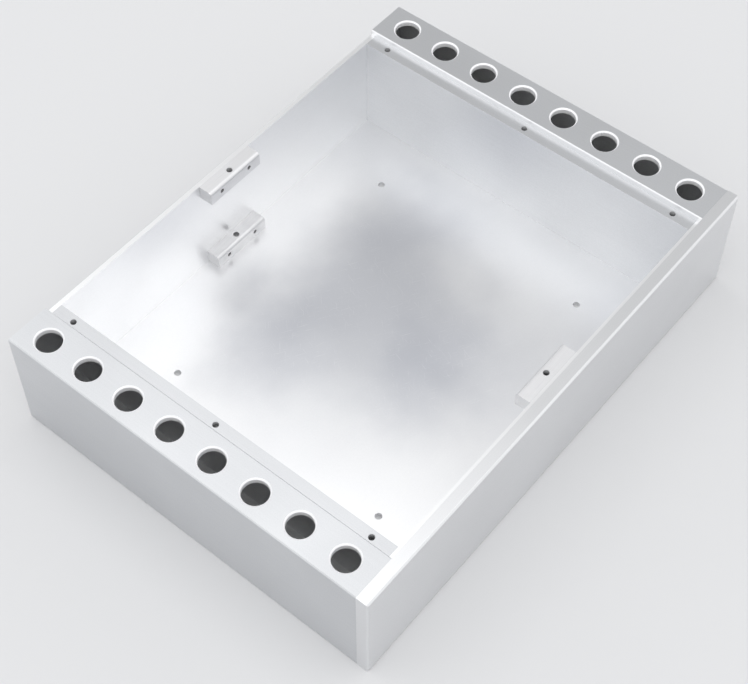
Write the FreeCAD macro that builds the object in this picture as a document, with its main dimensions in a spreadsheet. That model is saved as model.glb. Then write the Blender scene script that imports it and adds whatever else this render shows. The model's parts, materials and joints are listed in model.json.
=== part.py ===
# Open-top aluminium equipment chassis: two hollow side extrusions, a thick front panel,
# thin front and rear end plates, a bottom plate and four tie blocks, held together by screws.
# Millimetres. Origin at the centre of the footprint on the resting plane, front towards -Y, Z up.

import FreeCAD, Part
import os

import Sketcher

Vector = FreeCAD.Vector

DRIVING_SIZES = {
    # overall
    "case_width": 360,
    "case_height": 80,
    "frame_depth": 260,
    # plates
    "front_panel_thickness": 8,
    "front_edge_chamfer": 1.1,
    "front_corner_radius": 1.5,
    "end_plate_thickness": 3,
    "bottom_plate_thickness": 3,
    "lid_thickness": 4,
    "plate_side_play": 0.15,
    # side extrusion section
    "deck_width": 30,
    "ledge_width": 9,
    "deck_thickness": 4,
    "outer_wall": 3,
    "inner_wall": 3,
    "boss_overlap": 3,
    "port_wall": 1.5,
    "outer_edge_chamfer": 0.7,
    "step_edge_chamfer": 0.6,
    # vents in the upper decks
    "vent_diameter": 16.4,
    "vent_chamfer": 0.9,
    "vent_count": 8,
    "vent_end_margin": 18.5,
    "vent_inset": 14.5,
    # air intake in the lower decks
    "intake_width": 14,
    "intake_length": 190,
    # tie blocks
    "block_length": 45,
    "block_depth": 10,
    "block_height": 10,
    "block_edge_radius": 2.5,
    "block_screw_spacing": 25,
    # screws and their holes
    "frame_screw": 3,
    "frame_screw_head": 5.3,
    "frame_screw_length": 10,
    "plate_screw": 4,
    "plate_screw_head": 7,
    "plate_screw_length": 8,
    "panel_screw_head_height": 2.2,
    "panel_screw_spacing": 200,
    "panel_screw_edge_margin": 20,
    "ledge_screw_end_margin": 17.5,
    "thread_play": 0.05,
    "clearance_play": 0.2,
    "head_recess": 0.1,
    "screw_rim": 0.15,
    "tip_room": 1,
    # holes for the feet
    "foot_hole": 4.5,
    "foot_inset": 49,
}

# Screws are small and repeated, so they are turned with few sides.
SCREW_SIDES = 12

doc = FreeCAD.newDocument("chassis")
sizes = doc.addObject("Spreadsheet::Sheet", "sizes")
for row, (alias, size) in enumerate(DRIVING_SIZES.items(), start=1):
    sizes.set(f"A{row}", alias.replace("_", " "))
    sizes.set(f"B{row}", str(size))
    sizes.setAlias(f"B{row}", alias)
doc.recompute()

# Places that several pieces share, as expressions of the driving sizes.
TOTAL_DEPTH = "(sizes.frame_depth + sizes.front_panel_thickness)"
FRONT_FACE = f"(-{TOTAL_DEPTH} / 2)"
FRAME_FRONT = f"({FRONT_FACE} + sizes.front_panel_thickness)"
FRAME_REAR = f"({TOTAL_DEPTH} / 2)"
FRAME_MIDDLE = f"(({FRAME_FRONT} + {FRAME_REAR}) / 2)"
INNER_FRONT = f"({FRAME_FRONT} + sizes.end_plate_thickness)"
INNER_REAR = f"({FRAME_REAR} - sizes.end_plate_thickness)"
HALF_FRAME = "(sizes.frame_depth / 2)"
LID_SEAT = "(sizes.case_height - sizes.lid_thickness)"
FLOOR_TOP = "sizes.bottom_plate_thickness"
FLOOR_HALF_WIDTH = "(sizes.case_width / 2 - sizes.deck_width - sizes.plate_side_play)"
END_HALF_WIDTH = "(sizes.case_width / 2 - sizes.outer_wall - sizes.plate_side_play)"

# Screw depths, then the screw ports that run the whole length of each extrusion below its ledges.
PLATE_THREAD_DEPTH = "(sizes.plate_screw_length - sizes.bottom_plate_thickness + sizes.tip_room)"
PANEL_THREAD_DEPTH = "(sizes.plate_screw_length - sizes.end_plate_thickness + sizes.tip_room)"
PORT_DEPTH = f"({PLATE_THREAD_DEPTH} + sizes.port_wall + sizes.frame_screw / 2)"
BOSS_HEIGHT = f"({PORT_DEPTH} + sizes.frame_screw / 2 + sizes.port_wall)"

# Screw positions, from the middle of the case in X and of the frame in Y.
LEDGE_MIDDLE = "(sizes.deck_width + sizes.ledge_width / 2)"
LEDGE_SCREW_X = f"(sizes.case_width / 2 - {LEDGE_MIDDLE})"
LEDGE_SCREW_Y = f"({HALF_FRAME} - sizes.ledge_screw_end_margin)"
UPPER_PORT_Z = f"({LID_SEAT} - {PORT_DEPTH})"
LOWER_PORT_Z = f"({FLOOR_TOP} + {PORT_DEPTH})"
BLOCK_SCREW_X = "(sizes.block_screw_spacing / 2)"
BLOCK_SCREW_Y = f"({HALF_FRAME} - sizes.end_plate_thickness - sizes.block_depth / 2)"
UPPER_BLOCK_Z = f"({LID_SEAT} - sizes.block_height / 2)"
LOWER_BLOCK_Z = f"({FLOOR_TOP} + sizes.block_height / 2)"
PANEL_SCREW_X = "(sizes.panel_screw_spacing / 2)"
UPPER_PANEL_SCREW_Z = "(sizes.case_height - sizes.panel_screw_edge_margin)"
LOWER_PANEL_SCREW_Z = "sizes.panel_screw_edge_margin"


def value(expression):
    return float(sizes.evalExpression(expression))


# ---- sketches ----

def origin_feature(body, role):
    return next(feature for feature in body.Origin.OriginFeatures if feature.Role == role)


def new_sketch(body, name, plane_role, offset="0"):
    sketch = body.newObject("Sketcher::SketchObject", f"{body.Name}_{name}")
    sketch.AttachmentSupport = [(origin_feature(body, plane_role), "")]
    sketch.MapMode = "FlatFace"
    sketch.setExpression("AttachmentOffset.Base.z", offset)
    return sketch


def bind(sketch, kind, expression, *where):
    index = sketch.addConstraint(Sketcher.Constraint(kind, *where, value(expression)))
    sketch.setExpression(f"Constraints[{index}]", expression)


def pin_point(sketch, geometry, position, x, y):
    bind(sketch, "DistanceX", x, -1, 1, geometry, position)
    bind(sketch, "DistanceY", y, -1, 1, geometry, position)


def add_outline(sketch, corners):
    points = [Vector(value(x), value(y), 0) for x, y in corners]
    first = sketch.GeometryCount
    count = len(points)
    for index in range(count):
        sketch.addGeometry(Part.LineSegment(points[index], points[(index + 1) % count]), False)
    for index in range(count):
        following = first + (index + 1) % count
        sketch.addConstraint(Sketcher.Constraint("Coincident", first + index, 2, following, 1))
        pin_point(sketch, first + index, 1, *corners[index])


def add_rectangle(sketch, left, bottom, right, top):
    add_outline(sketch, [(left, bottom), (right, bottom), (right, top), (left, top)])


def add_circles(sketch, centres, diameter):
    for x, y in centres:
        circle = Part.Circle(Vector(value(x), value(y), 0), Vector(0, 0, 1), value(diameter) / 2)
        geometry = sketch.addGeometry(circle, False)
        pin_point(sketch, geometry, 3, x, y)
        bind(sketch, "Diameter", diameter, geometry)


def mirrored_in_x(*places):
    return [(f"{side}{x}", y) for side in ("-", "") for x, y in places]


# ---- features ----

def new_body(label):
    body = doc.addObject("PartDesign::Body", label)
    body.Label = label
    return body


def set_sizes(feature, **expressions):
    for name, expression in expressions.items():
        feature.setExpression(name, expression)


def pad(body, sketch, length, midplane=False, reverse=False):
    feature = body.newObject("PartDesign::Pad", f"{sketch.Name}_pad")
    feature.Profile = sketch
    feature.Midplane = midplane
    feature.Reversed = reverse
    set_sizes(feature, Length=length)
    doc.recompute()
    return feature


def check_cut(feature, volume_before):
    if feature.Shape.Volume > volume_before - 0.01:
        raise RuntimeError(f"{feature.Name} removes nothing")


def pocket(body, sketch, length, reverse=False):
    volume_before = body.Shape.Volume
    feature = body.newObject("PartDesign::Pocket", f"{sketch.Name}_cut")
    feature.Profile = sketch
    feature.Reversed = reverse
    set_sizes(feature, Length=length)
    doc.recompute()
    check_cut(feature, volume_before)
    return feature


# Round holes at the sketch's circles. Without a depth they go right through, and with a
# mouth diameter they are countersunk.
def drill(body, sketch, diameter, depth=None, mouth=None, reverse=False):
    volume_before = body.Shape.Volume
    doc.recompute()
    feature = body.newObject("PartDesign::Hole", f"{sketch.Name}_holes")
    feature.Profile = sketch
    doc.recompute()
    feature.ThreadType = "None"
    feature.Reversed = reverse
    feature.DrillPoint = "Flat"
    set_sizes(feature, Diameter=diameter)
    if depth is None:
        feature.DepthType = "ThroughAll"
    else:
        feature.DepthType = "Dimension"
        set_sizes(feature, Depth=depth)
    if mouth is not None:
        feature.HoleCutType = "Countersink"
        feature.HoleCutCustomValues = True
        feature.HoleCutCountersinkAngle = 90
        set_sizes(feature, HoleCutDiameter=mouth)
    doc.recompute()
    check_cut(feature, volume_before)
    return feature


def mirror(body, feature, plane_role):
    volume_before = body.Shape.Volume
    mirrored = body.newObject("PartDesign::Mirrored", f"{feature.Name}_mirror")
    mirrored.Originals = [feature]
    mirrored.MirrorPlane = (origin_feature(body, plane_role), [""])
    body.Tip = mirrored
    doc.recompute()
    check_cut(mirrored, volume_before)


def repeat_along(body, feature, axis_role, length, count):
    volume_before = body.Shape.Volume
    pattern = body.newObject("PartDesign::LinearPattern", f"{feature.Name}_row")
    pattern.Originals = [feature]
    pattern.Direction = (origin_feature(body, axis_role), [""])
    set_sizes(pattern, Length=length, Occurrences=count)
    body.Tip = pattern
    doc.recompute()
    check_cut(pattern, volume_before)


def edges_at(shape, **places):
    names = []
    for number, edge in enumerate(shape.Edges, start=1):
        ends = [vertex.Point for vertex in edge.Vertexes]
        if all(abs(getattr(end, axis) - place) < 1e-6 for end in ends for axis, place in places.items()):
            names.append(f"Edge{number}")
    return names


def dress_edges(body, kind, base, edges, **expressions):
    feature = body.newObject(f"PartDesign::{kind}", f"{base.Name}_{kind.lower()}")
    feature.Base = (base, edges)
    set_sizes(feature, **expressions)
    doc.recompute()


def place(item, x="0", y="0", z="0", turn=0, axis=Vector(0, 0, 1)):
    item.Placement.Rotation = FreeCAD.Rotation(axis, turn)
    set_sizes(item, **{"Placement.Base.x": x, "Placement.Base.y": y, "Placement.Base.z": z})


# ---- side extrusion ----
# Its own frame: X from the outer face inwards, Y centred on the length, Z from the base.

def pad_side_section(body):
    sketch = new_sketch(body, "section", "XZ_Plane")
    edge = "sizes.outer_edge_chamfer"
    step = "sizes.step_edge_chamfer"
    top = "sizes.case_height"
    width = "(sizes.deck_width + sizes.ledge_width)"
    add_outline(sketch, [
        ("0", edge),
        ("0", f"{top} - {edge}"),
        (edge, top),
        (f"sizes.deck_width - {step}", top),
        ("sizes.deck_width", f"{top} - {step}"),
        ("sizes.deck_width", LID_SEAT),
        (width, LID_SEAT),
        (width, FLOOR_TOP),
        ("sizes.deck_width", FLOOR_TOP),
        ("sizes.deck_width", "0"),
        (edge, "0"),
    ])
    boss_x = "sizes.deck_width - sizes.boss_overlap"
    web_x = f"{width} - sizes.inner_wall"
    upper_boss = f"{LID_SEAT} - {BOSS_HEIGHT}"
    lower_boss = f"{FLOOR_TOP} + {BOSS_HEIGHT}"
    duct_top = f"{top} - sizes.deck_thickness"
    add_outline(sketch, [
        ("sizes.outer_wall", "sizes.deck_thickness"),
        (boss_x, "sizes.deck_thickness"),
        (boss_x, lower_boss),
        (web_x, lower_boss),
        (web_x, upper_boss),
        (boss_x, upper_boss),
        (boss_x, duct_top),
        ("sizes.outer_wall", duct_top),
    ])
    add_circles(sketch, [(LEDGE_MIDDLE, LOWER_PORT_Z), (LEDGE_MIDDLE, UPPER_PORT_Z)], "sizes.frame_screw")
    pad(body, sketch, "sizes.frame_depth", midplane=True)


# The end plates close the duct: they sit in notches between the decks, one at each end.
def notch_ends(body):
    sketch = new_sketch(body, "notch", "XY_Plane", LID_SEAT)
    inner_face = "(sizes.deck_width + sizes.ledge_width)"
    notch_end = f"-{HALF_FRAME} + sizes.end_plate_thickness"
    add_rectangle(sketch, "sizes.outer_wall", f"-{HALF_FRAME}", inner_face, notch_end)
    mirror(body, pocket(body, sketch, f"{LID_SEAT} - {FLOOR_TOP}"), "XZ_Plane")


def vent_upper_deck(body):
    sketch = new_sketch(body, "vent", "XY_Plane", "sizes.case_height")
    front = f"-({HALF_FRAME} - sizes.vent_end_margin)"
    add_circles(sketch, [("sizes.vent_inset", front)], "sizes.vent_diameter")
    depth = "sizes.deck_thickness + sizes.tip_room"
    vent = drill(body, sketch, "sizes.vent_diameter", depth, "sizes.vent_diameter + 2 * sizes.vent_chamfer")
    repeat_along(body, vent, "Y_Axis", "sizes.frame_depth - 2 * sizes.vent_end_margin", "sizes.vent_count")


# A round-ended slot through the lower deck lets the air in.
def slot_lower_deck(body):
    half_length = "sizes.intake_length / 2"
    middle = new_sketch(body, "intake", "XY_Plane")
    left = "sizes.vent_inset - sizes.intake_width / 2"
    right = "sizes.vent_inset + sizes.intake_width / 2"
    add_rectangle(middle, left, f"-{half_length}", right, half_length)
    pocket(body, middle, "sizes.deck_thickness", reverse=True)
    ends = new_sketch(body, "intake_ends", "XY_Plane")
    centres = [("sizes.vent_inset", f"-{half_length}"), ("sizes.vent_inset", half_length)]
    add_circles(ends, centres, "sizes.intake_width")
    pocket(body, ends, "sizes.deck_thickness", reverse=True)


# Three threads in the upper ledge take the lid's screws, and two in the lower one the bottom plate's.
def thread_ledges(body):
    ends = [(LEDGE_MIDDLE, f"-{LEDGE_SCREW_Y}"), (LEDGE_MIDDLE, LEDGE_SCREW_Y)]
    upper = new_sketch(body, "lid_threads", "XY_Plane", LID_SEAT)
    add_circles(upper, ends + [(LEDGE_MIDDLE, "0")], "sizes.plate_screw")
    drill(body, upper, "sizes.plate_screw", PLATE_THREAD_DEPTH)
    lower = new_sketch(body, "floor_threads", "XY_Plane", FLOOR_TOP)
    add_circles(lower, ends, "sizes.plate_screw")
    drill(body, lower, "sizes.plate_screw", PLATE_THREAD_DEPTH, reverse=True)


def make_side_profile(label, side, turn):
    body = new_body(label)
    pad_side_section(body)
    notch_ends(body)
    vent_upper_deck(body)
    slot_lower_deck(body)
    thread_ledges(body)
    place(body, x=f"{side} * sizes.case_width / 2", y=FRAME_MIDDLE, turn=turn)
    return body


# ---- plates ----

# A countersink is wider than the head by the recess and the head's rim on each side.
RIM_ROOM = "2 * (sizes.head_recess + sizes.screw_rim)"
CORNER_SCREWS = mirrored_in_x((LEDGE_SCREW_X, LOWER_PORT_Z), (LEDGE_SCREW_X, UPPER_PORT_Z))
BLOCK_SCREWS = mirrored_in_x((BLOCK_SCREW_X, LOWER_BLOCK_Z), (BLOCK_SCREW_X, UPPER_BLOCK_Z))
PANEL_SCREWS = mirrored_in_x((PANEL_SCREW_X, LOWER_PANEL_SCREW_Z), (PANEL_SCREW_X, UPPER_PANEL_SCREW_Z))


# Its front face is Y = 0 in its own frame.
def make_front_panel():
    body = new_body("front_panel")
    sketch = new_sketch(body, "section", "YZ_Plane")
    edge = "sizes.front_edge_chamfer"
    add_outline(sketch, [
        (edge, "0"),
        ("sizes.front_panel_thickness", "0"),
        ("sizes.front_panel_thickness", "sizes.case_height"),
        (edge, "sizes.case_height"),
        ("0", f"sizes.case_height - {edge}"),
        ("0", edge),
    ])
    slab = pad(body, sketch, "sizes.case_width", midplane=True)
    half_width = value("sizes.case_width / 2")
    corners = edges_at(slab.Shape, x=-half_width, y=0) + edges_at(slab.Shape, x=half_width, y=0)
    dress_edges(body, "Fillet", slab, corners, Radius="sizes.front_corner_radius")
    threads = new_sketch(body, "threads", "XZ_Plane", "-sizes.front_panel_thickness")
    add_circles(threads, PANEL_SCREWS, "sizes.plate_screw")
    drill(body, threads, "sizes.plate_screw", PANEL_THREAD_DEPTH, reverse=True)
    place(body, y=FRONT_FACE)
    return body


# Both end plates share one outline. The outer face is Y = 0 in the plate's own frame, and Y runs inwards.
def pad_end_plate(body):
    sketch = new_sketch(body, "outline", "XZ_Plane")
    add_rectangle(sketch, f"-{END_HALF_WIDTH}", FLOOR_TOP, END_HALF_WIDTH, LID_SEAT)
    pad(body, sketch, "sizes.end_plate_thickness", reverse=True)


def make_front_inner_plate():
    body = new_body("front_inner_plate")
    pad_end_plate(body)
    holes = new_sketch(body, "panel_holes", "XZ_Plane")
    add_circles(holes, PANEL_SCREWS, "sizes.plate_screw + 2 * sizes.clearance_play")
    pocket(body, holes, "sizes.end_plate_thickness")
    place(body, y=FRAME_FRONT)
    return body


def make_rear_panel():
    body = new_body("rear_panel")
    pad_end_plate(body)
    seats = new_sketch(body, "screw_seats", "XZ_Plane")
    add_circles(seats, CORNER_SCREWS + BLOCK_SCREWS, "sizes.frame_screw")
    drill(body, seats, "sizes.frame_screw + 2 * sizes.clearance_play",
          mouth=f"sizes.frame_screw_head + {RIM_ROOM}")
    place(body, y=FRAME_REAR, turn=180)
    return body


def make_bottom_plate():
    body = new_body("bottom_plate")
    sketch = new_sketch(body, "outline", "XY_Plane")
    add_rectangle(sketch, f"-{FLOOR_HALF_WIDTH}", f"-{HALF_FRAME}", FLOOR_HALF_WIDTH, HALF_FRAME)
    pad(body, sketch, "sizes.bottom_plate_thickness")
    seats = new_sketch(body, "screw_seats", "XY_Plane")
    side_places = mirrored_in_x((LEDGE_SCREW_X, f"-{LEDGE_SCREW_Y}"), (LEDGE_SCREW_X, LEDGE_SCREW_Y))
    block_places = [("0", f"-{BLOCK_SCREW_Y}"), ("0", BLOCK_SCREW_Y)]
    add_circles(seats, side_places + block_places, "sizes.plate_screw")
    drill(body, seats, "sizes.plate_screw + 2 * sizes.clearance_play",
          mouth=f"sizes.plate_screw_head + {RIM_ROOM}", reverse=True)
    feet = new_sketch(body, "foot_holes", "XY_Plane")
    foot_x = f"({FLOOR_HALF_WIDTH} - sizes.foot_inset)"
    foot_y = f"({HALF_FRAME} - sizes.foot_inset)"
    add_circles(feet, mirrored_in_x((foot_x, f"-{foot_y}"), (foot_x, foot_y)), "sizes.foot_hole")
    pocket(body, feet, "sizes.bottom_plate_thickness", reverse=True)
    place(body, y=FRAME_MIDDLE)
    return body


# ---- tie blocks ----
# A bar with one rounded long edge. Its back is Y = 0 in its own frame, and it reaches towards -Y.

def make_block(label, y, z, turn):
    body = new_body(label)
    sketch = new_sketch(body, "section", "YZ_Plane")
    add_rectangle(sketch, "-sizes.block_depth", "0", "0", "sizes.block_height")
    bar = pad(body, sketch, "sizes.block_length", midplane=True)
    inner_edge = edges_at(bar.Shape, y=-value("sizes.block_depth"), z=value("sizes.block_height"))
    dress_edges(body, "Fillet", bar, inner_edge, Radius="sizes.block_edge_radius")
    across = new_sketch(body, "across", "XZ_Plane")
    add_circles(across, mirrored_in_x((BLOCK_SCREW_X, "sizes.block_height / 2")), "sizes.frame_screw")
    pocket(body, across, "sizes.block_depth", reverse=True)
    upright = new_sketch(body, "upright", "XY_Plane")
    add_circles(upright, [("0", "-sizes.block_depth / 2")], "sizes.plate_screw")
    pocket(body, upright, "sizes.block_height", reverse=True)
    place(body, y=y, z=z, turn=turn)
    return body


# ---- screws ----
# Each kind is made once, with the top of its head at Z = 0 and its tip towards -Z.

def add_polygon(sketch, radius):
    angles = range(0, 360, 360 // SCREW_SIDES)
    corners = [(f"{radius} * cos({angle} deg)", f"{radius} * sin({angle} deg)") for angle in angles]
    add_outline(sketch, corners)


def make_screw(name, thread, head, head_height, length, cone_height=None):
    body = new_body(name)
    head_outline = new_sketch(body, "head", "XY_Plane")
    add_polygon(head_outline, f"({head} / 2)")
    disc = pad(body, head_outline, head_height, reverse=True)
    if cone_height is not None:
        under_edges = edges_at(disc.Shape, z=-value(head_height))
        dress_edges(body, "Chamfer", disc, under_edges, Size=cone_height)
    shank_outline = new_sketch(body, "shank", "XY_Plane")
    add_polygon(shank_outline, f"({thread} / 2 - sizes.thread_play)")
    pad(body, shank_outline, length, reverse=True)
    return body


# The cone narrows from the head's rim to the shank, measured across the flats of both.
def make_countersunk_screw(name, thread, head, length):
    half_turn = 180 / SCREW_SIDES
    cone_height = f"(({head} - {thread}) / 2 + sizes.thread_play) * cos({half_turn:g} deg)"
    return make_screw(name, thread, head, f"sizes.screw_rim + {cone_height}", length, cone_height)


# One node holds a few equal screws: a link to the screw at each place, gathered in a compound.
def make_screw_set(label, screw, tilt, places):
    links = []
    for number, (x, y, z) in enumerate(places, start=1):
        link = doc.addObject("App::Link", f"{label}_{number}")
        link.LinkedObject = screw
        place(link, x, y, z, tilt, Vector(1, 0, 0))
        links.append(link)
    group = doc.addObject("Part::Compound", label)
    group.Label = label
    group.Links = links
    return group


def make_screw_sets():
    sunk = "sizes.head_recess"
    frame_screw = make_countersunk_screw("frame_screw_pattern", "sizes.frame_screw", "sizes.frame_screw_head",
                                         f"sizes.frame_screw_length - {sunk}")
    plate_screw = make_countersunk_screw("plate_screw_pattern", "sizes.plate_screw", "sizes.plate_screw_head",
                                         f"sizes.plate_screw_length - {sunk}")
    panel_screw = make_screw("panel_screw_pattern", "sizes.plate_screw", "sizes.plate_screw_head",
                             "sizes.panel_screw_head_height",
                             "sizes.panel_screw_head_height + sizes.plate_screw_length")
    sets = []
    for name, side in (("left", "-"), ("right", "")):
        # through the rear panel into the screw ports
        rear = [(f"{side}{LEDGE_SCREW_X}", f"({FRAME_REAR} - {sunk})", z)
                for z in (LOWER_PORT_Z, UPPER_PORT_Z)]
        sets.append(make_screw_set(f"rear_{name}_screws", frame_screw, -90, rear))
        # up through the bottom plate into the lower ledges
        floor = [(f"{side}{LEDGE_SCREW_X}", f"({FRAME_MIDDLE} {end} {LEDGE_SCREW_Y})", sunk) for end in "-+"]
        sets.append(make_screw_set(f"bottom_{name}_screws", plate_screw, 180, floor))
        # from inside through the front inner plate into the front panel
        panel = [(f"{side}{PANEL_SCREW_X}", f"({INNER_FRONT} + sizes.panel_screw_head_height)", z)
                 for z in (LOWER_PANEL_SCREW_Z, UPPER_PANEL_SCREW_Z)]
        sets.append(make_screw_set(f"front_panel_{name}_screws", panel_screw, -90, panel))
    for level, z in (("top", UPPER_BLOCK_Z), ("bottom", LOWER_BLOCK_Z)):
        # through the rear panel into its tie blocks
        block = [(f"{side}{BLOCK_SCREW_X}", f"({FRAME_REAR} - {sunk})", z) for side in ("-", "")]
        sets.append(make_screw_set(f"rear_{level}_block_screws", frame_screw, -90, block))
    for end, sign in (("front", "-"), ("rear", "+")):
        # up through the bottom plate into the lower tie blocks
        floor = [("0", f"({FRAME_MIDDLE} {sign} {BLOCK_SCREW_Y})", sunk)]
        sets.append(make_screw_set(f"bottom_{end}_block_screw", plate_screw, 180, floor))
    return sets


# ---- the whole chassis ----

def make_sub_parts():
    upper_block_base = f"({LID_SEAT} - sizes.block_height)"
    sub_parts = [
        make_side_profile("left_side_profile", "-1", 0),
        make_side_profile("right_side_profile", "1", 180),
        make_front_panel(),
        make_front_inner_plate(),
        make_rear_panel(),
        make_bottom_plate(),
        make_block("front_top_block", INNER_FRONT, upper_block_base, 180),
        make_block("front_bottom_block", INNER_FRONT, FLOOR_TOP, 180),
        make_block("rear_top_block", INNER_REAR, upper_block_base, 0),
        make_block("rear_bottom_block", INNER_REAR, FLOOR_TOP, 0),
    ]
    return sub_parts + make_screw_sets()


def check_document(sub_parts):
    for item in doc.Objects:
        if "Invalid" in item.State or "Error" in item.State:
            raise RuntimeError(f"{item.Name} failed: {item.State}")
    for item in sub_parts:
        if item.Shape.isNull() or not item.Shape.isValid():
            raise RuntimeError(f"{item.Label} has no valid shape")


sub_parts = make_sub_parts()
doc.recompute()
check_document(sub_parts)

os.makedirs("parts", exist_ok=True)
for item in sub_parts:
    item.Shape.exportStep(f"parts/{item.Label}.step")
    print(f"{item.Label}: {len(item.Shape.Solids)} solids, {item.Shape.Volume:.0f} mm3")
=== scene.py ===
import json
import math

import bmesh
import bpy
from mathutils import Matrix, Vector


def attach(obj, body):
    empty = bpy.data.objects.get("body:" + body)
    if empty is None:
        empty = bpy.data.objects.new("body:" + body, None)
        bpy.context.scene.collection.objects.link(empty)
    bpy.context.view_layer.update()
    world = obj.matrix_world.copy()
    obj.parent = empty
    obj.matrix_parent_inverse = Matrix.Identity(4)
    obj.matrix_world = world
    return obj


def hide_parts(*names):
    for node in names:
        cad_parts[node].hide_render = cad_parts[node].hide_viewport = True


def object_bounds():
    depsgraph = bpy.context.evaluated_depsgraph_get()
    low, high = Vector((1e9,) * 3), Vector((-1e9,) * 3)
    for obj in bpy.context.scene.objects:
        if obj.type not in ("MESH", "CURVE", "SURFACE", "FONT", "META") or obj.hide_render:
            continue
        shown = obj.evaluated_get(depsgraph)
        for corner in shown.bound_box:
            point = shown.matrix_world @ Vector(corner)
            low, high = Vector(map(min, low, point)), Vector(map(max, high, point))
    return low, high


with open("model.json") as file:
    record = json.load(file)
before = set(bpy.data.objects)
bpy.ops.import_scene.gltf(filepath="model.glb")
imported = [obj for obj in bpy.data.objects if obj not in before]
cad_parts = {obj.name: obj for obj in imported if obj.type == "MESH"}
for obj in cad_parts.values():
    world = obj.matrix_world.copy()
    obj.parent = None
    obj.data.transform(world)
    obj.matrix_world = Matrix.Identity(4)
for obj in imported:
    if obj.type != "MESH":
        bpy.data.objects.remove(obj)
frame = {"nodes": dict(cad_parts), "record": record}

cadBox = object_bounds()
millimetre = 0.001
halfWidth = cadBox[1].x


# camera, floor and light

cameraSettings = {
    "place": (-0.4708, -0.3764, 0.8364),
    "aim": (-0.0254, -0.0118, 0.040),
    "lens": 78.1,
}


def makeCamera():
    data = bpy.data.cameras.new("camera")
    data.lens = cameraSettings["lens"]
    data.clip_start = 0.05
    data.clip_end = 50
    camera = bpy.data.objects.new("camera", data)
    camera.location = cameraSettings["place"]
    look = Vector(cameraSettings["aim"]) - camera.location
    camera.rotation_euler = look.to_track_quat("-Z", "Y").to_euler()
    bpy.context.collection.objects.link(camera)
    bpy.context.scene.camera = camera


lampSettings = {
    "overhead": {"place": (-0.16, 0.0, 1.7), "aim": (-0.16, 0, 0), "size": (1.6, 2.6), "watts": 9.6},
}
# an even white tent, open to a dimmer room on one side
worldSettings = {
    "colour": (0.985, 0.99, 1.0), "light": 1.12, "roomLight": 0.54, "backdrop": 0.8,
    "roomSide": (0.64, 0.40, 0.66), "roomEdge": (0.86, 0.97)}
floorSettings = {"size": 12.0, "colour": (0.64, 0.642, 0.648), "roughness": 0.9}


def makeLamps():
    for name, lamp in lampSettings.items():
        data = bpy.data.lights.new(name, "AREA")
        data.shape = "RECTANGLE"
        data.size, data.size_y = lamp["size"]
        data.energy = lamp["watts"]
        item = bpy.data.objects.new(name, data)
        item.location = lamp["place"]
        look = Vector(lamp["aim"]) - item.location
        item.rotation_euler = look.to_track_quat("-Z", "Y").to_euler()
        bpy.context.collection.objects.link(item)


def makeWorld():
    world = bpy.data.worlds.new("studio")
    world.use_nodes = True
    bpy.context.scene.world = world
    nodes = world.node_tree.nodes
    links = world.node_tree.links
    background = nodes["Background"]
    background.inputs["Color"].default_value = (*worldSettings["colour"], 1)
    direction = nodes.new("ShaderNodeTexCoord").outputs["Generated"]
    towards = nodes.new("ShaderNodeVectorMath")
    towards.operation = "DOT_PRODUCT"
    towards.inputs[1].default_value = Vector(worldSettings["roomSide"]).normalized()
    links.new(direction, towards.inputs[0])
    light = nodes.new("ShaderNodeMapRange")
    light.interpolation_type = "SMOOTHSTEP"
    edgeLow, edgeHigh = worldSettings["roomEdge"]
    light.inputs["From Min"].default_value = edgeLow
    light.inputs["From Max"].default_value = edgeHigh
    light.inputs["To Min"].default_value = worldSettings["light"]
    light.inputs["To Max"].default_value = worldSettings["roomLight"]
    links.new(towards.outputs["Value"], light.inputs["Value"])
    path = nodes.new("ShaderNodeLightPath")
    strength = nodes.new("ShaderNodeMix")
    strength.inputs[3].default_value = worldSettings["backdrop"]
    links.new(path.outputs["Is Camera Ray"], strength.inputs["Factor"])
    links.new(light.outputs["Result"], strength.inputs[2])
    links.new(strength.outputs[0], background.inputs["Strength"])


def makeFloor():
    mesh = bmesh.new()
    bmesh.ops.create_grid(mesh, x_segments=1, y_segments=1, size=floorSettings["size"] / 2)
    data = bpy.data.meshes.new("floor")
    mesh.to_mesh(data)
    mesh.free()
    floor = bpy.data.objects.new("floor", data)
    bpy.context.collection.objects.link(floor)
    material = bpy.data.materials.new("paleFloor")
    material.use_nodes = True
    shader = material.node_tree.nodes["Principled BSDF"]
    shader.inputs["Base Color"].default_value = (*floorSettings["colour"], 1)
    shader.inputs["Roughness"].default_value = floorSettings["roughness"]
    shader.inputs["Specular IOR Level"].default_value = 0.2
    data.materials.append(material)


makeCamera()
makeLamps()
makeWorld()
makeFloor()
print("camera, light and floor are set")


# effects that several materials share

def addNode(tree, kind, values=None, **settings):
    node = tree.nodes.new(kind)
    for name, setting in settings.items():
        setattr(node, name, setting)
    for socket, given in (values or {}).items():
        node.inputs[socket].default_value = given
    return node


def makeGroup(name, inputs, outputs):
    group = bpy.data.node_groups.new(name, "ShaderNodeTree")
    for socketName, default in inputs.items():
        kind = "NodeSocketFloat" if isinstance(default, (int, float)) else "NodeSocketVector"
        socket = group.interface.new_socket(name=socketName, in_out="INPUT", socket_type=kind)
        socket.default_value = default
    for socketName in outputs:
        group.interface.new_socket(name=socketName, in_out="OUTPUT", socket_type="NodeSocketFloat")
    return group, group.nodes.new("NodeGroupInput"), group.nodes.new("NodeGroupOutput")


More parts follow.
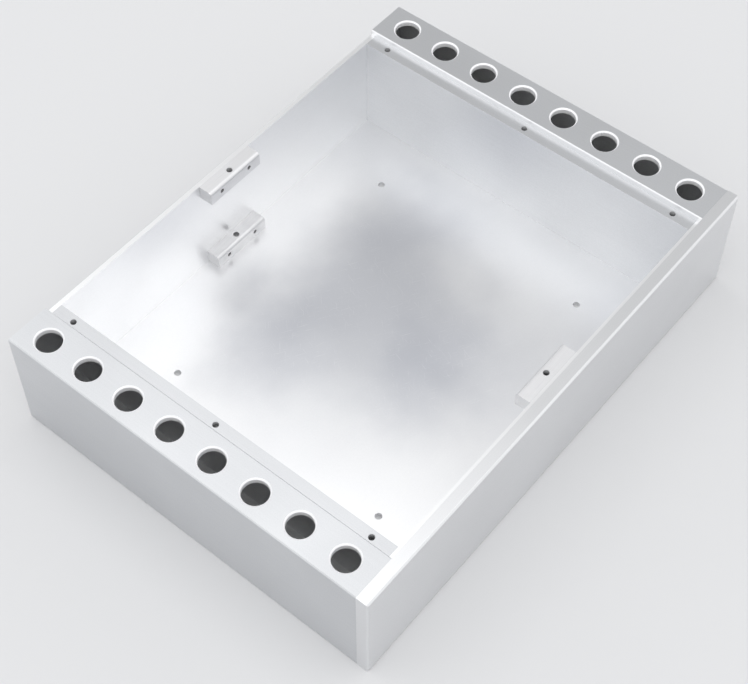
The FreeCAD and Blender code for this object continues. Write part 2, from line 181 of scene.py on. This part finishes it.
# fine texture of the metal: even grain, or lines where one direction is stretched
def makeGrainGroup():
    group, given, result = makeGroup("metalGrain", {
        "Place": (0, 0, 0), "Stretch": (1, 1, 1), "Fineness": 1000.0}, ["Grain"])
    mapping = addNode(group, "ShaderNodeMapping")
    noise = addNode(group, "ShaderNodeTexNoise", {"Detail": 3.0, "Roughness": 0.6})
    group.links.new(given.outputs["Place"], mapping.inputs["Vector"])
    group.links.new(given.outputs["Stretch"], mapping.inputs["Scale"])
    group.links.new(given.outputs["Fineness"], noise.inputs["Scale"])
    group.links.new(mapping.outputs["Vector"], noise.inputs["Vector"])
    group.links.new(noise.outputs["Fac"], result.inputs["Grain"])
    return group


# soft cloudy patches, left by handling and rinsing
def makeHazeGroup():
    group, given, result = makeGroup("softHaze", {
        "Place": (0, 0, 0), "Size": 12.0, "Low": 0.4, "High": 0.7}, ["Haze"])
    noise = addNode(group, "ShaderNodeTexNoise", {"Detail": 2.0, "Roughness": 0.5, "Distortion": 0.4})
    span = addNode(group, "ShaderNodeMapRange", interpolation_type="SMOOTHSTEP")
    group.links.new(given.outputs["Place"], noise.inputs["Vector"])
    group.links.new(given.outputs["Size"], noise.inputs["Scale"])
    group.links.new(noise.outputs["Fac"], span.inputs["Value"])
    group.links.new(given.outputs["Low"], span.inputs["From Min"])
    group.links.new(given.outputs["High"], span.inputs["From Max"])
    group.links.new(span.outputs["Result"], result.inputs["Haze"])
    return group


# thin straight strokes in one direction
def makeStrokeGroup():
    group, given, result = makeGroup("fineStrokes", {
        "Place": (0, 0, 0), "Turn": (0, 0, 0), "Length": 30.0, "Thinness": 1200.0, "Fewness": 0.66,
    }, ["Stroke"])
    turned = addNode(group, "ShaderNodeVectorRotate", rotation_type="EULER_XYZ")
    stretch = addNode(group, "ShaderNodeCombineXYZ")
    scaled = addNode(group, "ShaderNodeVectorMath", operation="MULTIPLY")
    noise = addNode(group, "ShaderNodeTexNoise", {"Scale": 1.0, "Detail": 1.0, "Roughness": 0.4})
    span = addNode(group, "ShaderNodeMapRange", {"From Max": 0.8}, interpolation_type="SMOOTHSTEP")
    group.links.new(given.outputs["Place"], turned.inputs["Vector"])
    group.links.new(given.outputs["Turn"], turned.inputs["Rotation"])
    group.links.new(given.outputs["Length"], stretch.inputs["X"])
    group.links.new(given.outputs["Thinness"], stretch.inputs["Y"])
    group.links.new(given.outputs["Thinness"], stretch.inputs["Z"])
    group.links.new(turned.outputs["Vector"], scaled.inputs[0])
    group.links.new(stretch.outputs["Vector"], scaled.inputs[1])
    group.links.new(scaled.outputs["Vector"], noise.inputs["Vector"])
    group.links.new(noise.outputs["Fac"], span.inputs["Value"])
    group.links.new(given.outputs["Fewness"], span.inputs["From Min"])
    group.links.new(span.outputs["Result"], result.inputs["Stroke"])
    return group


# painted highlight: a lighter colour on the bevelled edges, broken up by noise
def makeEdgeGroup():
    group, given, result = makeGroup("paintedEdgeHighlight", {
        "Place": (0, 0, 0), "Edge": 0.0, "Amount": 0.5}, ["Wear"])
    noise = addNode(group, "ShaderNodeTexNoise", {"Scale": 160.0, "Detail": 3.0})
    span = addNode(group, "ShaderNodeMapRange", {"From Min": 0.3, "From Max": 0.6, "To Min": 0.35})
    highlitEdge = addNode(group, "ShaderNodeMath", operation="MULTIPLY")
    scaled = addNode(group, "ShaderNodeMath", operation="MULTIPLY")
    group.links.new(given.outputs["Place"], noise.inputs["Vector"])
    group.links.new(noise.outputs["Fac"], span.inputs["Value"])
    group.links.new(given.outputs["Edge"], highlitEdge.inputs[0])
    group.links.new(span.outputs["Result"], highlitEdge.inputs[1])
    group.links.new(highlitEdge.outputs["Value"], scaled.inputs[0])
    group.links.new(given.outputs["Amount"], scaled.inputs[1])
    group.links.new(scaled.outputs["Value"], result.inputs["Wear"])
    return group


sharedGroups = {
    "grain": makeGrainGroup(),
    "haze": makeHazeGroup(),
    "strokes": makeStrokeGroup(),
    "edge": makeEdgeGroup(),
}


def useGroup(tree, name, values=None):
    node = addNode(tree, "ShaderNodeGroup", node_tree=sharedGroups[name])
    for socket, given in (values or {}).items():
        node.inputs[socket].default_value = given
    return node


def mixColour(tree, factor, first, second, blend="MIX"):
    node = addNode(tree, "ShaderNodeMix", data_type="RGBA", blend_type=blend)
    if isinstance(factor, float):
        node.inputs["Factor"].default_value = factor
    else:
        tree.links.new(factor, node.inputs["Factor"])
    for index, colour in ((6, first), (7, second)):
        if isinstance(colour, tuple):
            node.inputs[index].default_value = (*colour, 1)
        else:
            tree.links.new(colour, node.inputs[index])
    return node.outputs[2]


def mapRange(tree, source, low, high, fromLow=0.0, fromHigh=1.0):
    node = addNode(tree, "ShaderNodeMapRange",
                   {"From Min": fromLow, "From Max": fromHigh, "To Min": low, "To Max": high})
    tree.links.new(source, node.inputs["Value"])
    return node.outputs["Result"]


def addValues(tree, first, second):
    node = addNode(tree, "ShaderNodeMath", operation="ADD")
    tree.links.new(first, node.inputs[0])
    tree.links.new(second, node.inputs[1])
    return node.outputs["Value"]


metals = {
    "satinExtrusion": {
        "colour": (0.70, 0.71, 0.725), "shade": (0.62, 0.63, 0.645), "edgeColour": (0.90, 0.90, 0.91),
        "roughness": 0.36, "roughnessSpan": 0.06, "stretch": (1.0, 0.02, 1.0), "lines": 0.3,
        "fineness": 1500.0, "hazeSize": 9.0, "bump": 0.07, "edgeHighlight": 0.6},
    "satinFront": {
        "colour": (0.81, 0.815, 0.825), "shade": (0.74, 0.745, 0.755), "edgeColour": (0.96, 0.96, 0.97),
        "roughness": 0.34, "roughnessSpan": 0.05, "stretch": (0.02, 1.0, 1.0), "lines": 0.2,
        "fineness": 1800.0, "hazeSize": 7.0, "bump": 0.06, "edgeHighlight": 0.9},
    "satinPlate": {
        "colour": (0.92, 0.923, 0.93), "shade": (0.87, 0.873, 0.88), "edgeColour": (0.95, 0.95, 0.96),
        "roughness": 0.36, "roughnessSpan": 0.06, "stretch": (0.05, 1.0, 1.0), "lines": 0.15,
        "fineness": 1500.0, "hazeSize": 8.0, "bump": 0.04, "edgeHighlight": 0.4},
    "sawnBar": {
        "colour": (0.80, 0.80, 0.805), "shade": (0.70, 0.70, 0.71), "edgeColour": (0.88, 0.88, 0.88),
        "roughness": 0.48, "roughnessSpan": 0.10, "stretch": (0.03, 1.0, 1.0), "lines": 0.6,
        "fineness": 2200.0, "hazeSize": 60.0, "bump": 0.22, "edgeHighlight": 0.5},
    "turnedSteel": {
        "colour": (0.56, 0.565, 0.575), "shade": (0.42, 0.42, 0.43), "edgeColour": (0.75, 0.75, 0.76),
        "roughness": 0.28, "roughnessSpan": 0.08, "stretch": (1.0, 1.0, 1.0), "lines": 0.0,
        "fineness": 3000.0, "hazeSize": 200.0, "bump": 0.12, "edgeHighlight": 0.3},
    "ductShade": {
        "colour": (0.82, 0.825, 0.83), "shade": (0.74, 0.745, 0.75), "edgeColour": (0.82, 0.82, 0.82),
        "roughness": 0.6, "roughnessSpan": 0.1, "stretch": (1.0, 0.02, 1.0), "lines": 0.3,
        "fineness": 1200.0, "hazeSize": 20.0, "bump": 0.12, "edgeHighlight": 0.1},
    # painted shade: the threads inside the holes take a dark metal for the shade down the bores
    "shadedThread": {
        "colour": (0.34, 0.345, 0.35), "shade": (0.24, 0.24, 0.245), "edgeColour": (0.5, 0.5, 0.5),
        "roughness": 0.45, "roughnessSpan": 0.08, "stretch": (1.0, 1.0, 1.0), "lines": 0.0,
        "fineness": 3000.0, "hazeSize": 200.0, "bump": 0.06, "edgeHighlight": 0.2},
    "ventWall": {
        "colour": (0.93, 0.93, 0.94), "shade": (0.86, 0.86, 0.87), "edgeColour": (0.97, 0.97, 0.97),
        "roughness": 0.55, "roughnessSpan": 0.08, "stretch": (1.0, 1.0, 0.1), "lines": 0.4,
        "fineness": 2200.0, "hazeSize": 60.0, "bump": 0.06, "edgeHighlight": 0.8, "metallic": 0.35},
}


def makeMetal(name):
    given = metals[name]
    material = bpy.data.materials.new(name)
    material.use_nodes = True
    tree = material.node_tree
    shader = tree.nodes["Principled BSDF"]
    shader.inputs["Metallic"].default_value = given.get("metallic", 1.0)
    place = addNode(tree, "ShaderNodeTexCoord").outputs["Object"]
    edge = addNode(tree, "ShaderNodeAttribute", attribute_name="edgeMask").outputs["Fac"]
    haze = useGroup(tree, "haze", {"Size": given["hazeSize"], "Low": 0.35, "High": 0.7})
    even = useGroup(tree, "grain", {"Fineness": given["fineness"]})
    lines = useGroup(tree, "grain", {"Fineness": given["fineness"] * 0.7, "Stretch": given["stretch"]})
    edgeHighlight = useGroup(tree, "edge", {"Amount": given["edgeHighlight"]})
    for node in (haze, even, lines, edgeHighlight):
        tree.links.new(place, node.inputs["Place"])
    tree.links.new(edge, edgeHighlight.inputs["Edge"])
    mixed = addNode(tree, "ShaderNodeMix", {"Factor": given["lines"]}, data_type="FLOAT")
    tree.links.new(even.outputs["Grain"], mixed.inputs[2])
    tree.links.new(lines.outputs["Grain"], mixed.inputs[3])
    grain = mixed.outputs[0]
    tone = addValues(tree, mapRange(tree, haze.outputs["Haze"], 0.0, 0.45),
                     mapRange(tree, grain, 0.0, 0.55, 0.35, 0.65))
    colour = mixColour(tree, tone, given["colour"], given["shade"])
    # painted highlight: the lighter edge colour on the marked bevel faces
    colour = mixColour(tree, edgeHighlight.outputs["Wear"], colour, given["edgeColour"])
    tree.links.new(colour, shader.inputs["Base Color"])
    half = given["roughnessSpan"] / 2
    low, high = given["roughness"] - half, given["roughness"] + half
    rough = addValues(tree, mapRange(tree, grain, low, high, 0.35, 0.65),
                      mapRange(tree, haze.outputs["Haze"], -half, half))
    tree.links.new(rough, shader.inputs["Roughness"])
    bump = addNode(tree, "ShaderNodeBump", {"Strength": given["bump"], "Distance": 0.0001})
    tree.links.new(grain, bump.inputs["Height"])
    tree.links.new(bump.outputs["Normal"], shader.inputs["Normal"])
    return material


materials = {name: makeMetal(name) for name in metals}


# the floor plate: soft dark patches painted in as reflections, with strokes from wiping and handling

floorPlateSettings = {
    "paintedReflectionColour": (0.52, 0.535, 0.58), "strokeColour": (0.92, 0.92, 0.94), "paintedReflectionDepth": 0.85,
    # directions and fewness of the wiping strokes, and how clearly they show; they are real marks, painted
    # lighter only inside the painted reflections as a highlight
    "strokes": [(0.55, 0.66), (-0.75, 0.68), (1.9, 0.69)], "strokeLength": 110.0, "strokeThinness": 2200.0,
    "strokeShare": 0.35,
    # place on the plate and half sizes of each painted reflection, with its share of the reflection colour
    "paintedReflections": [
        ((-0.035, 0.055), (0.040, 0.030), 0.65),
        ((0.065, 0.050), (0.050, 0.036), 0.65),
        ((0.010, -0.030), (0.045, 0.040), 0.75),
        ((-0.005, 0.015), (0.080, 0.060), 0.35),
        ((0.075, -0.105), (0.090, 0.030), 0.35),
    ],
}


def makeFloorPlate():
    given = floorPlateSettings
    material = makeMetal("satinPlate")
    material.name = "plateWithPaintedReflections"
    tree = material.node_tree
    shader = tree.nodes["Principled BSDF"]
    place = next(node for node in tree.nodes if node.type == "TEX_COORD").outputs["Object"]
    drift = addNode(tree, "ShaderNodeTexNoise", {"Scale": 22.0, "Detail": 3.0})
    tree.links.new(place, drift.inputs["Vector"])
    shifted = addNode(tree, "ShaderNodeVectorMath", operation="MULTIPLY_ADD")
    shifted.inputs[1].default_value = (0.05, 0.05, 0)
    tree.links.new(drift.outputs["Color"], shifted.inputs[0])
    tree.links.new(place, shifted.inputs[2])
    total = None
    # soft dark bluish patches in the base colour: painted reflections of dark things above the plate
    for (x, y), (halfX, halfY), share in given["paintedReflections"]:
        mapping = addNode(tree, "ShaderNodeMapping", vector_type="TEXTURE")
        mapping.inputs["Location"].default_value = (x + 0.025, y + 0.025, 0.0)
        mapping.inputs["Scale"].default_value = (halfX * 2, halfY * 2, 1.0)
        ball = addNode(tree, "ShaderNodeTexGradient", gradient_type="SPHERICAL")
        tree.links.new(shifted.outputs["Vector"], mapping.inputs["Vector"])
        tree.links.new(mapping.outputs["Vector"], ball.inputs["Vector"])
        soft = addNode(tree, "ShaderNodeMapRange", {"To Max": share}, interpolation_type="SMOOTHSTEP")
        tree.links.new(ball.outputs["Fac"], soft.inputs["Value"])
        total = soft.outputs["Result"] if total is None else addValues(tree, total, soft.outputs["Result"])
    paintedReflection = mapRange(tree, total, 0.0, given["paintedReflectionDepth"])
    strokes = None
    for turn, fewness in given["strokes"]:
        stroke = useGroup(tree, "strokes", {
            "Turn": (0, 0, turn), "Fewness": fewness,
            "Length": given["strokeLength"], "Thinness": given["strokeThinness"]})
        tree.links.new(place, stroke.inputs["Place"])
        found = stroke.outputs["Stroke"]
        strokes = found if strokes is None else addValues(tree, strokes, found)
    before = shader.inputs["Base Color"].links[0].from_socket
    withPaintedReflection = mixColour(tree, paintedReflection, before, given["paintedReflectionColour"])
    # the wiping strokes are painted lighter only inside the painted reflections: a painted highlight on
    # real marks
    strokesInReflection = addNode(tree, "ShaderNodeMath", operation="MULTIPLY")
    tree.links.new(strokes, strokesInReflection.inputs[0])
    tree.links.new(mapRange(tree, paintedReflection, 0.05, given["strokeShare"]), strokesInReflection.inputs[1])
    scratched = mixColour(tree, strokesInReflection.outputs["Value"], withPaintedReflection, given["strokeColour"])
    tree.links.new(scratched, shader.inputs["Base Color"])
    return material


materials["plateWithPaintedReflections"] = makeFloorPlate()
print("materials are made")


# plates, profiles and blocks: the modelled solids with broken edges

dressedNodes = {
    "left_side_profile": {"metal": "satinExtrusion", "softEdge": 0.18},
    "right_side_profile": {"metal": "satinExtrusion", "softEdge": 0.18},
    "front_panel": {"metal": "satinFront", "softEdge": 0.34},
    "front_inner_plate": {"metal": "satinPlate", "softEdge": 0.22},
    "rear_panel": {"metal": "satinPlate", "softEdge": 0.30},
    "bottom_plate": {"metal": "plateWithPaintedReflections", "softEdge": 0.30},
    "front_top_block": {"metal": "sawnBar", "softEdge": 0.32},
    "front_bottom_block": {"metal": "sawnBar", "softEdge": 0.32},
    "rear_top_block": {"metal": "sawnBar", "softEdge": 0.32},
    "rear_bottom_block": {"metal": "sawnBar", "softEdge": 0.32},
}
mergeDistance = 0.000002
flatAngle = 0.5
sharpAngle = 25


def finishPiece(name, mesh, metalNames, replaced, smoothAngle=32):
    data = bpy.data.meshes.new(name)
    for face in mesh.faces:
        face.smooth = True
    for line in mesh.edges:
        line.smooth = line.is_manifold and line.calc_face_angle(0) < math.radians(smoothAngle)
    mesh.to_mesh(data)
    mesh.free()
    for metalName in metalNames:
        data.materials.append(materials[metalName])
    piece = bpy.data.objects.new(name, data)
    bpy.context.collection.objects.link(piece)
    weighted = piece.modifiers.new("evenShading", "WEIGHTED_NORMAL")
    weighted.keep_sharp = True
    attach(piece, "root")
    if replaced:
        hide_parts(*replaced)
    return piece


# where the hollow, the vents and the step lie, measured in from the outer wall and up from the base
profileZones = {
    "duct": (0.0028, 0.0362), "ductHeight": (0.0042, 0.0758),
    "chamberDepth": 0.0272, "chamberHeight": (0.0039, 0.0761),
    "ventReach": 0.0095, "stepLow": 0.0761, "stepDepth": 0.030, "stepPlay": 0.0006,
    "facingAway": 0.9, "facingSide": 0.3,
}


def depthOf(point):
    return halfWidth - abs(point.x)


def isBetween(value, limits):
    return limits[0] < value < limits[1]


# faces of the hollow inside a side profile are in shade and unpolished
def isInsideDuct(face):
    zones = profileZones
    centre = face.calc_center_median()
    depth = depthOf(centre)
    if abs(face.normal.y) > zones["facingAway"] or not isBetween(depth, zones["duct"]):
        return False
    inChamber = depth < zones["chamberDepth"] and isBetween(centre.z, zones["chamberHeight"])
    return inChamber or isBetween(centre.z, zones["ductHeight"])


openings = {given["name"]: given["box_m"] for given in frame["record"]["physics"]["openings"]}
ventCentres = [
    (Vector(low) + Vector(high)) / 2 for name, (low, high) in openings.items() if "_vent_" in name]


# walls of the round vents, drilled through the upper deck
def isVentWall(face):
    zones = profileZones
    centre = face.calc_center_median()
    if centre.z < zones["stepLow"] or abs(face.normal.z) > zones["facingAway"]:
        return False
    return any((centre - vent).xy.length < zones["ventReach"] for vent in ventCentres)


# the upright step between a deck and its ledge, given the brighter plate metal: painted light standing in
# for the light the step catches
def isLidStep(face):
    zones = profileZones
    centre = face.calc_center_median()
    isUpright = centre.z > zones["stepLow"] and abs(face.normal.x) > zones["facingSide"]
    return isUpright and abs(depthOf(centre) - zones["stepDepth"]) < zones["stepPlay"]


def mergedCopy(source):
    mesh = bmesh.new()
    mesh.from_mesh(source)
    bmesh.ops.remove_doubles(mesh, verts=mesh.verts, dist=mergeDistance)
    return mesh


# flat faces become one face each, then the edges sharper than sharpAngle are softened
def dressNode(name, metal, softEdge):
    mesh = mergedCopy(frame["nodes"][name].data)
    bmesh.ops.dissolve_limit(mesh, angle_limit=math.radians(flatAngle), verts=mesh.verts, edges=mesh.edges)
    marks = mesh.faces.layers.float.new("edgeMask")
    sharp = [line for line in mesh.edges
             if line.is_manifold and line.calc_face_angle(0) > math.radians(sharpAngle)]
    made = bmesh.ops.bevel(
        mesh, geom=sharp, offset=softEdge * millimetre, offset_type="OFFSET", segments=2,
        profile=0.5, affect="EDGES", clamp_overlap=True, material=-1)
    # the bevel faces are marked for the painted edge highlight
    for face in made["faces"]:
        face[marks] = 1.0
    metalNames = [metal]
    if "profile" in name:
        # the last slot, the brighter plate metal on the lid step, is painted light
        metalNames += ["ductShade", "ventWall", "satinPlate"]
        for face in mesh.faces:
            tests = (isInsideDuct(face), isVentWall(face), isLidStep(face))
            face.material_index = tests.index(True) + 1 if any(tests) else 0
    finishPiece(name + "_finished", mesh, metalNames, [name])


for nodeName, settings in dressedNodes.items():
    dressNode(nodeName, settings["metal"], settings["softEdge"])
print("profiles, plates and blocks are dressed")


# socket screws and the threads of the lid holes

screwSettings = {
    "sides": 24, "socketWidth": 0.46, "socketDepth": 0.6, "headBevel": 0.18, "pitch": 0.0006,
    "threadDepth": 0.0002, "tipBevel": 0.0004, "underHead": 0.0002, "rimShare": 0.9, "smoothAngle": 28}
threadSettings = {
    "pitch": 0.0007, "depth": 0.00028, "inset": 0.0006, "grip": 0.00005, "ledgeLength": 0.004}


# a ring of points round an axis, or along a hexagon whose flats are at the radius
def addRing(mesh, place, along, across, radius, height, isHex=False):
    sides = screwSettings["sides"]
    other = along.cross(across)
    ring = []
    for index in range(sides):
        angle = 2 * math.pi * index / sides
        reach = radius
        if isHex:
            reach = radius / math.cos(angle % (math.pi / 3) - math.pi / 6)
        point = place + along * height + (across * math.cos(angle) + other * math.sin(angle)) * reach
        ring.append(mesh.verts.new(point))
    return ring


def joinRings(mesh, rings, isClosed=False):
    pairs = list(zip(rings, rings[1:]))
    if isClosed:
        pairs.append((rings[-1], rings[0]))
    for first, second in pairs:
        for index in range(len(first)):
            following = (index + 1) % len(first)
            mesh.faces.new((first[index], first[following], second[following], second[index]))


def closeRing(mesh, ring, place):
    centre = mesh.verts.new(place)
    for index in range(len(ring)):
        mesh.faces.new((ring[index], ring[(index + 1) % len(ring)], centre))


# turns of a thread between two heights, as (radius, height) pairs
def threadTurns(radius, depth, start, end, pitch):
    count = max(2, round(abs(end - start) / pitch))
    step = (end - start) / count
    turns = []
    for index in range(count):
        turns.append((radius - depth, start + step * index))
        turns.append((radius, start + step * (index + 0.5)))
    turns.append((radius - depth, end))
    return turns


def looseParts(source):
    mesh = mergedCopy(source)
    mesh.verts.index_update()
    left = set(mesh.verts)
    parts = []
    while left:
        front = [min(left, key=lambda point: point.index)]
        part = set(front)
        while front:
            point = front.pop()
            for line in point.link_edges:
                other = line.other_vert(point)
                if other not in part:
                    part.add(other)
                    front.append(other)
        left -= part
        parts.append([point.co.copy() for point in part])
    mesh.free()
    return parts


def addScrew(mesh, points):
    low = Vector([min(point[axis] for point in points) for axis in range(3)])
    high = Vector([max(point[axis] for point in points) for axis in range(3)])
    size = high - low
    axis = max(range(3), key=lambda index: size[index])
    along = Vector([1.0 if index == axis else 0.0 for index in range(3)])
    across = Vector([1.0 if index == (axis + 1) % 3 else 0.0 for index in range(3)])
    centre = (low + high) / 2

    def reach(point):
        offset = point - centre
        return (offset - along * offset.dot(along)).length

    headRadius = max(reach(point) for point in points)
    headPoints = [point for point in points if reach(point) > screwSettings["rimShare"] * headRadius]
    if sum((point - centre).dot(along) for point in headPoints) < 0:
        along = -along
    heights = [(point - centre).dot(along) for point in headPoints]
    top, tip = size[axis] / 2, -size[axis] / 2
    headBase = min(heights)
    shankTop = headBase - screwSettings["underHead"]
    shank = max(reach(point) for point in points if (point - centre).dot(along) < shankTop)
    bevel = screwSettings["headBevel"] * (top - headBase)
    socket = headRadius * screwSettings["socketWidth"]
    floorHeight = top - (top - headBase) * screwSettings["socketDepth"]
    head = [
        (socket, floorHeight, True), (socket, top - bevel * 0.3, True), (socket * 1.12, top, True),
        (headRadius - bevel, top, False), (headRadius - bevel * 0.3, top - bevel * 0.3, False),
        (headRadius, top - bevel, False), (headRadius, headBase, False)]
    threadEnd = tip + screwSettings["tipBevel"]
    turns = threadTurns(shank, screwSettings["threadDepth"], headBase, threadEnd, screwSettings["pitch"])
    rings = [addRing(mesh, centre, along, across, *values) for values in head]
    rings += [addRing(mesh, centre, along, across, radius, height) for radius, height in turns]
    rings.append(addRing(mesh, centre, along, across, shank - screwSettings["tipBevel"], tip))
    joinRings(mesh, rings)
    closeRing(mesh, rings[0], centre + along * floorHeight)
    closeRing(mesh, rings[-1], centre + along * tip)


for nodeName, node in frame["nodes"].items():
    if nodeName in dressedNodes:
        continue
    screwMesh = bmesh.new()
    for part in looseParts(node.data):
        addScrew(screwMesh, part)
    bmesh.ops.recalc_face_normals(screwMesh, faces=screwMesh.faces)
    finishPiece(nodeName + "_finished", screwMesh, ["turnedSteel"], [nodeName],
                screwSettings["smoothAngle"])


# a tapped sleeve that lines a bore of the record's mounts
def addThread(mesh, place, radius, length):
    along = Vector((0, 0, 1))
    across = Vector((1, 0, 0))
    half = length / 2 - threadSettings["inset"]
    outer = radius + threadSettings["grip"]
    rings = [addRing(mesh, place, along, across, outer, height) for height in (half, -half)]
    turns = threadTurns(radius, threadSettings["depth"], -half, half, threadSettings["pitch"])
    rings += [addRing(mesh, place, along, across, turn, height) for turn, height in turns]
    joinRings(mesh, rings, isClosed=True)


threadMesh = bmesh.new()
for mount in frame["record"]["mounts"]:
    mountPlace = Vector(mount["pos_m"])
    dims = mount["dims"]
    if mount["kind"] == "threaded_hole":
        addThread(threadMesh, mountPlace, dims["r_mm"] * millimetre, dims["length_mm"] * millimetre)
    elif mount["name"] == "lid_middle_threads":
        for side in (-1, 1):
            offset = Vector((side * dims["spacing_x_mm"] / 2 * millimetre, 0, 0))
            addThread(threadMesh, mountPlace + offset, dims["hole_r_mm"] * millimetre,
                      threadSettings["ledgeLength"])
bmesh.ops.recalc_face_normals(threadMesh, faces=threadMesh.faces)
# the thread sleeves carry the dark metal, painted shade in the bores
finishPiece("lid_threads", threadMesh, ["shadedThread"], [],
            screwSettings["smoothAngle"])
print("screws and threads are made")

bpy.context.scene.view_settings.view_transform = "Standard"
